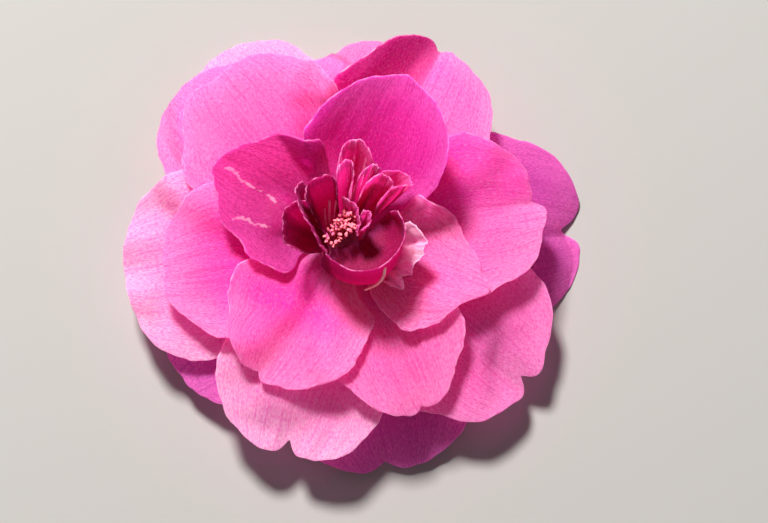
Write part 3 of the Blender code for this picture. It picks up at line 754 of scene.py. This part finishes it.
def skinned(form, points, marks, skinTree):
    # the ribs' noise strays from its middle by a seventh or so, hence the factor on the relief
    made = linked(form["name"] + "_skin", sheetMesh(form["name"] + "_sheet", points, marks))
    grown(made, skinTree, {
        "Wall": form["wall"] * mm, "Rim": form["wall"] * 0.6, "Relief": form["relief"] * mm * 7.0,
        "Ribs": form["ribs"], "Seed": float(form["seed"]),
        "Finish": finishes[form.get("finish", form["slot"])]})
    standFor(made, [n for n in (form["name"],) if n in frame["nodes"]])


def gridFor(form):
    return np.meshgrid(closingIn(form["count"], False), closingIn(form["count"], True), indexing="ij")


def layPetals(skinTree):
    everything = [{**petalForm, **scaleForm, **scale} for scale in scales] + growing(petals)
    beneath = np.zeros((3, 0))
    for order, petal in enumerate(everything):
        petal["seed"] = 11 + order
        along, across = gridFor(petal)
        out, aside = flatPattern(petal, along, across)
        felt = feltRise(petal, beneath)
        laid = petalPoints(petal, out, aside, felt)
        beneath = np.concatenate([beneath, np.array([part.ravel() for part in laid])], axis=1)
        # side is painted light and shade: it deepens the colour of a shaded side, lightens a lit one, and
        # moves the pale margin inward on a shaded side
        side, edge = sideShadingShare(petal, across), rimDistance(out, aside)
        marks = dict(
            along=along, across=across, out=out, fan=across * petal["half"], edge=edge,
            deep=np.clip(1.0 - smoothStep(along, *petal["deep"]) + side, 0.0, 1.0),
            pale=edge + 9.0 * np.maximum(side, 0.0), streak=streakMark(petal, out, aside))
        skinned(petal, inSpace(*laid), marks, skinTree)
    print("petals and scales laid:", len(everything))


def stripedMark(shell, along, across):
    # pale stripes down the wall, and a bleached patch at one end of it
    seed = shell["seed"]
    stripes = shell["stripes"] * np.maximum(slowNoise(across * 14.0, seed + 9, (1.0, 2.3, 3.1)), 0.0)
    broken = 0.8 + 0.5 * slowNoise(along * 9.0 + across * 2.0, seed + 5)
    stripes = stripes * smoothStep(along, 0.4, 0.75) * broken
    if shell["bleached"]:
        patches = 0.8 + 0.5 * slowNoise(across * 5.0 + 3.0 * along, seed + 1)
        whitened = smoothStep((across + 1.0) / 2.0, *shell["bleached"]) * smoothStep(along, 0.35, 0.7)
        stripes = np.maximum(stripes, whitened * patches)
    return stripes


def standPetaloids(skinTree):
    for order, petaloid in enumerate(petaloids):
        shell = {**shellForm, **petaloid, "seed": 61 + order}
        along, across = gridFor(shell)
        points = shellPoints(shell, along, across)
        out, aside = shellPattern(points)
        edge = rimDistance(out, aside)
        marks = dict(along=along, across=across, out=out, fan=aside, edge=edge, pale=edge,
                     deep=1.0 - smoothStep(along, 0.3, 0.9), streak=stripedMark(shell, along, across))
        skinned(shell, points * mm + np.array([axisX, axisY, 0.0]), marks, skinTree)
    print("petaloids standing:", len(petaloids))


# The stamens stand in a tuft at the heart, and some trail down to one side of it.
tuft = dict(count=72, foot=(1.2, 1.7, 18.9), spread=0.5, trail=(-3.9, -3.5, -1.6), height=10.0,
            bend=0.9, filament=0.13, anther=(0.44, 0.18, 0.21), seed=5)
goldenAngle = math.radians(137.508)


def makeTuftTree():
    tree, node, given = startTree("stamenTuft", {
        "Count": 30, "Seed": 1, "Anthers": False, "Spread": 0.0015, "Height": 0.01, "Bend": 0.001,
        "Filament": 0.00013, "Foot": (0.0, 0.0, 0.0), "Trail": (0.0, 0.0, 0.0),
        "Anther Size": (0.0, 0.0, 0.0)}, onMesh=False)
    # three draws for each stamen: its place along the trail, a turn, and a size
    draws = []
    for low, high in ((0.0, 1.0), (-0.6, 0.6), (0.94, 1.04)):
        seed = node("ShaderNodeMath", {0: given["Seed"], 1: len(draws) + 1.0}, operation="ADD")
        draws.append(node("FunctionNodeRandomValue", {2: low, 3: high, "Seed": seed}, data_type="FLOAT"))
    # one filament, curved a little, as tall as the tuft
    half = node("ShaderNodeMath", {0: given["Height"], 1: 0.5}, operation="MULTIPLY")
    middle = node("ShaderNodeCombineXYZ", {"X": 0.0, "Z": half})
    top = node("ShaderNodeCombineXYZ", {"X": given["Bend"], "Z": given["Height"]})
    arc = node("GeometryNodeCurveQuadraticBezier", {
        "Resolution": 7, "Start": (0.0, 0.0, 0.0), "Middle": middle, "End": top})
    ring = node("GeometryNodeCurvePrimitiveCircle", {"Resolution": 6, "Radius": given["Filament"]})
    filament = node("GeometryNodeCurveToMesh", {
        "Curve": arc, "Profile Curve": ring, "Fill Caps": True})
    # one anther: two plump lobes side by side on the end of the filament
    lobe = node("GeometryNodeMeshIcoSphere", {"Radius": 1.0, "Subdivisions": 2})
    lobes = node("GeometryNodeJoinGeometry")
    for side in (-0.6, 0.6):
        aside = node("GeometryNodeTransform", {"Geometry": lobe, "Translation": (0.0, side, 0.0)})
        tree.links.new(aside.outputs[0], lobes.inputs[0])
    sized = node("GeometryNodeTransform", {
        "Geometry": lobes, "Translation": top, "Scale": given["Anther Size"]})
    stamen = node("GeometryNodeSwitch", {
        "Switch": given["Anthers"], "False": filament, "True": sized}, input_type="GEOMETRY")
    # they stand on a golden-angle disc that is drawn out into the trail
    line = node("GeometryNodePoints", {"Count": given["Count"], "Radius": 0.0001})
    index = node("GeometryNodeInputIndex")
    share = node("ShaderNodeMath", {0: index, 1: given["Count"]}, operation="DIVIDE")
    turn = node("ShaderNodeMath", {0: index, 1: goldenAngle}, operation="MULTIPLY")
    rooted = node("ShaderNodeMath", {0: share}, operation="SQRT")
    distance = node("ShaderNodeMath", {0: rooted, 1: given["Spread"]}, operation="MULTIPLY")
    cosine = node("ShaderNodeMath", {0: turn}, operation="COSINE")
    sine = node("ShaderNodeMath", {0: turn}, operation="SINE")
    unitRing = node("ShaderNodeCombineXYZ", {"X": cosine, "Y": sine})
    onDisc = node("ShaderNodeVectorMath", {0: unitRing, "Scale": distance}, operation="SCALE")
    drawnOut = node("ShaderNodeMath", {0: draws[0], 1: 2.2}, operation="POWER")
    trailing = node("ShaderNodeVectorMath", {0: given["Trail"], "Scale": drawnOut}, operation="SCALE")
    jitter = node("FunctionNodeRandomValue", {
        0: (-0.0002, -0.0002, -0.0012), 1: (0.0002, 0.0002, 0.0003), "Seed": given["Seed"]},
        data_type="FLOAT_VECTOR")
    place = given["Foot"]
    for part in (onDisc, trailing, jitter):
        place = node("ShaderNodeVectorMath", {0: place, 1: part}, operation="ADD")
    standing = node("GeometryNodeSetPosition", {"Geometry": line, "Position": place})
    tilt = node("ShaderNodeMath", {0: share, 1: 0.12}, operation="MULTIPLY")
    facing = node("ShaderNodeMath", {0: turn, 1: draws[1]}, operation="ADD")
    lean = node("ShaderNodeCombineXYZ", {"X": 0.0, "Y": tilt, "Z": facing})
    rotation = node("FunctionNodeEulerToRotation", {0: lean})
    placed = node("GeometryNodeInstanceOnPoints", {
        "Points": standing, "Instance": stamen, "Rotation": rotation, "Scale": draws[2]})
    real = node("GeometryNodeRealizeInstances", {"Geometry": placed})
    # the anthers are uneven and grainy
    where = node("GeometryNodeInputPosition")
    grain = node("ShaderNodeTexNoise", {"Vector": where, "Scale": 2600.0, "Detail": 1.0})
    above = node("ShaderNodeMath", {0: grain, 1: 0.5}, operation="SUBTRACT")
    amount = node("ShaderNodeMath", {0: above, 1: 0.0004}, operation="MULTIPLY")
    normal = node("GeometryNodeInputNormal")
    push = node("ShaderNodeVectorMath", {0: normal, "Scale": amount}, operation="SCALE")
    uneven = node("GeometryNodeSetPosition", {
        "Geometry": real, "Selection": given["Anthers"], "Offset": push})
    return endTree(tree, node, given, node("GeometryNodeSetShadeSmooth", {"Geometry": uneven}))


def growStamens():
    tree = makeTuftTree()
    x, y, z = tuft["foot"]
    foot = (x * mm + axisX, y * mm + axisY, z * mm)
    cadStamens = sorted(n for n in frame["nodes"] if n.startswith("stamen_") and n[-1].isdigit())
    for name, anthers, finish, nodes in (
            ("stamen_filaments", False, "filament", cadStamens), ("stamen_anthers", True, "anther", [])):
        made = linked(name, bpy.data.meshes.new(name + "_seed"))
        grown(made, tree, {
            "Count": tuft["count"], "Seed": tuft["seed"], "Anthers": anthers,
            "Spread": tuft["spread"] * mm, "Height": tuft["height"] * mm, "Bend": tuft["bend"] * mm,
            "Filament": tuft["filament"] * mm, "Foot": foot, "Trail": tuple(v * mm for v in tuft["trail"]),
            "Anther Size": tuple(v * mm for v in tuft["anther"]), "Finish": finishes[finish]})
        standFor(made, nodes)
    print("stamens standing:", tuft["count"])


# Filaments that lost their anthers: one stray against the outside of the cup, the rest
# left of the heart. Each is a path of direction, distance and height.
strands = [
    dict(name="stamen_stray_strand", finish="stray", radius=0.42, nodes=["stamen_stray"],
         path=((310, 13.6, 34.5), (306, 14.5, 31), (299, 14.6, 27.5), (289, 14, 24.5))),
    dict(name="stamen_bare_1", finish="strap", radius=0.5, nodes=[],
         path=((200, 1.8, 19), (150, 3.6, 25), (121, 6.2, 31))),
    dict(name="stamen_bare_2", finish="strap", radius=0.35, nodes=[],
         path=((190, 1.6, 19), (140, 3.0, 25), (108, 5.8, 30))),
    dict(name="stamen_bare_3", finish="strap", radius=0.4, nodes=[],
         path=((215, 2.0, 19), (170, 3.8, 24), (138, 5.8, 29.5))),
]


def makeStrandTree():
    tree, node, given = startTree("strand", {"Radius": 0.0003})
    curve = node("GeometryNodeMeshToCurve", {"Mesh": given["Geometry"]})
    ring = node("GeometryNodeCurvePrimitiveCircle", {"Resolution": 10, "Radius": given["Radius"]})
    # thinner towards its end
    share = node("GeometryNodeSplineParameter")
    taper = node("ShaderNodeMapRange", {"Value": share, "To Min": 1.0, "To Max": 0.55})
    thinned = node("GeometryNodeSetCurveRadius", {"Curve": curve, "Radius": taper})
    tube = node("GeometryNodeCurveToMesh", {
        "Curve": thinned, "Profile Curve": ring, "Scale": taper, "Fill Caps": True})
    return endTree(tree, node, given, node("GeometryNodeSetShadeSmooth", {"Geometry": tube}))


def drawStrands():
    tree = makeStrandTree()
    for strand in strands:
        points = smoothThrough(aroundAxis(strand["path"]), np.linspace(0.0, 1.0, 18)) * mm
        points = points + np.array([axisX, axisY, 0.0])
        mesh = bpy.data.meshes.new(strand["name"] + "_path")
        mesh.from_pydata(points.tolist(), [(i, i + 1) for i in range(len(points) - 1)], [])
        made = linked(strand["name"], mesh)
        grown(made, tree, {"Radius": strand["radius"] * mm, "Finish": finishes[strand["finish"]]})
        standFor(made, strand["nodes"])
    print("strands drawn:", len(strands))


# Short pale hairs on the outer faces of the scales, drawn a little coarse so that they
# show. The middle is the height from which the scales face away.
down = dict(count=420, length=0.8, thick=0.045, middle=22.0)


def makeDownTree():
    tree, node, given = startTree("scaleDown", {
        "Density": 1.0, "Length": 0.0008, "Thickness": 0.00005, "Middle": (0.0, 0.0, 0.0), "Seed": 1})
    # only the faces that look away from the middle of the bloom carry hairs
    normal = node("GeometryNodeInputNormal")
    place = node("GeometryNodeInputPosition")
    fromMiddle = node("ShaderNodeVectorMath", {0: place, 1: given["Middle"]}, operation="SUBTRACT")
    away = node("ShaderNodeVectorMath", {0: fromMiddle, 1: normal}, operation="DOT_PRODUCT")
    outer = node("FunctionNodeCompare", {0: away, 1: 0.0}, data_type="FLOAT", operation="GREATER_THAN")
    spots = node("GeometryNodeDistributePointsOnFaces", {
        "Mesh": given["Geometry"], "Selection": outer, "Density": given["Density"], "Seed": given["Seed"]})
    # each hair leans towards the tip of its scale
    stray = node("FunctionNodeRandomValue", {
        0: (-0.4, -0.4, 0.3), 1: (0.4, 0.4, 1.0), "Seed": given["Seed"]}, data_type="FLOAT_VECTOR")
    lean = node("ShaderNodeVectorMath", {0: spots.outputs["Normal"], 1: stray}, operation="ADD")
    turned = node("FunctionNodeAlignRotationToVector", {"Vector": lean}, axis="Z")
    size = node("FunctionNodeRandomValue", {2: 0.5, 3: 1.1, "Seed": given["Seed"]}, data_type="FLOAT")
    hair = node("GeometryNodeMeshCone", {
        "Vertices": 3, "Radius Top": 0.0, "Radius Bottom": given["Thickness"], "Depth": given["Length"]})
    many = node("GeometryNodeInstanceOnPoints", {
        "Points": spots, "Instance": hair, "Rotation": turned, "Scale": size})
    return endTree(tree, node, given, many)


def growDown():
    tree = makeDownTree()
    for order, scale in enumerate(scales):
        sheet = bpy.data.objects[scale["name"] + "_skin"].data
        outerArea = sum(polygon.area for polygon in sheet.polygons) / 2.0
        hairs = linked(scale["name"] + "_down", sheet.copy())
        grown(hairs, tree, {
            "Density": down["count"] / outerArea, "Length": down["length"] * mm,
            "Thickness": down["thick"] * mm, "Middle": (axisX, axisY, down["middle"] * mm),
            "Seed": 91 + order, "Finish": finishes["down"]})
        standFor(hairs, [])
    print("scales with down:", len(scales))


petalSkin = makeSkinTree()
layPetals(petalSkin)
standPetaloids(petalSkin)
growStamens()
drawStrands()
growDown()

for nodeName, finish in (("receptacle", "receptacle"), ("stalk_end", "stalk")):
    node = frame["nodes"][nodeName]
    node.data.materials.clear()
    node.data.materials.append(finishes[finish])


# Floor, light and camera, in metres and degrees. The key light stands high behind the
# bloom and shines through its petals; the fill opens the shadows from in front.
studio = dict(floor="#7e7b77", floorReach=3.0, world="#f4f6ff", worldStrength=0.2,
              aimHeight=0.030, cameraDistance=0.60, cameraRise=75.0, lens=129.0, shift=(0.052, -0.0475))
lamps = dict(
    key=dict(power=50.0, size=0.26, distance=1.2, toward=(-0.22, 0.542, 0.811)),
    fill=dict(power=4.6, size=1.2, distance=1.6, toward=(0.3, -0.85, 0.45)),
)


def setStudio():
    scene = bpy.context.scene
    reach = studio["floorReach"]
    mesh = bpy.data.meshes.new("table_top")
    corners = [(-reach, -reach, 0), (reach, -reach, 0), (reach, reach, 0), (-reach, reach, 0)]
    mesh.from_pydata(corners, [], [(0, 1, 2, 3)])
    mesh.materials.append(makePlainMaterial("matt_table", studio["floor"], studio["floor"], 40.0, 0.8, 0.0))
    floor = linked("table_top", mesh)
    aim = Vector((axisX, axisY, studio["aimHeight"]))
    for name, lamp in lamps.items():
        light = bpy.data.lights.new(name, "AREA")
        light.shape = "DISK"
        light.size = lamp["size"]
        light.energy = lamp["power"]
        made = linked(name, light)
        toLight = Vector(lamp["toward"]).normalized()
        made.location = aim + toLight * lamp["distance"]
        made.rotation_euler = toLight.to_track_quat("Z", "Y").to_euler()
    world = bpy.data.worlds.new("soft_room")
    scene.world = world
    world.use_nodes = True
    background = world.node_tree.nodes["Background"]
    background.inputs["Color"].default_value = linearColour(studio["world"])
    background.inputs["Strength"].default_value = studio["worldStrength"]
    camera = bpy.data.cameras.new("camera")
    camera.sensor_width = 36.0
    camera.lens = studio["lens"]
    camera.shift_x, camera.shift_y = studio["shift"]
    eye = linked("camera", camera)
    rise = math.radians(studio["cameraRise"])
    back = Vector((0.0, -math.cos(rise), math.sin(rise)))
    eye.location = aim + back * studio["cameraDistance"]
    eye.rotation_euler = back.to_track_quat("Z", "Y").to_euler()
    scene.camera = eye
    scene.view_settings.view_transform = "Standard"


setStudio()
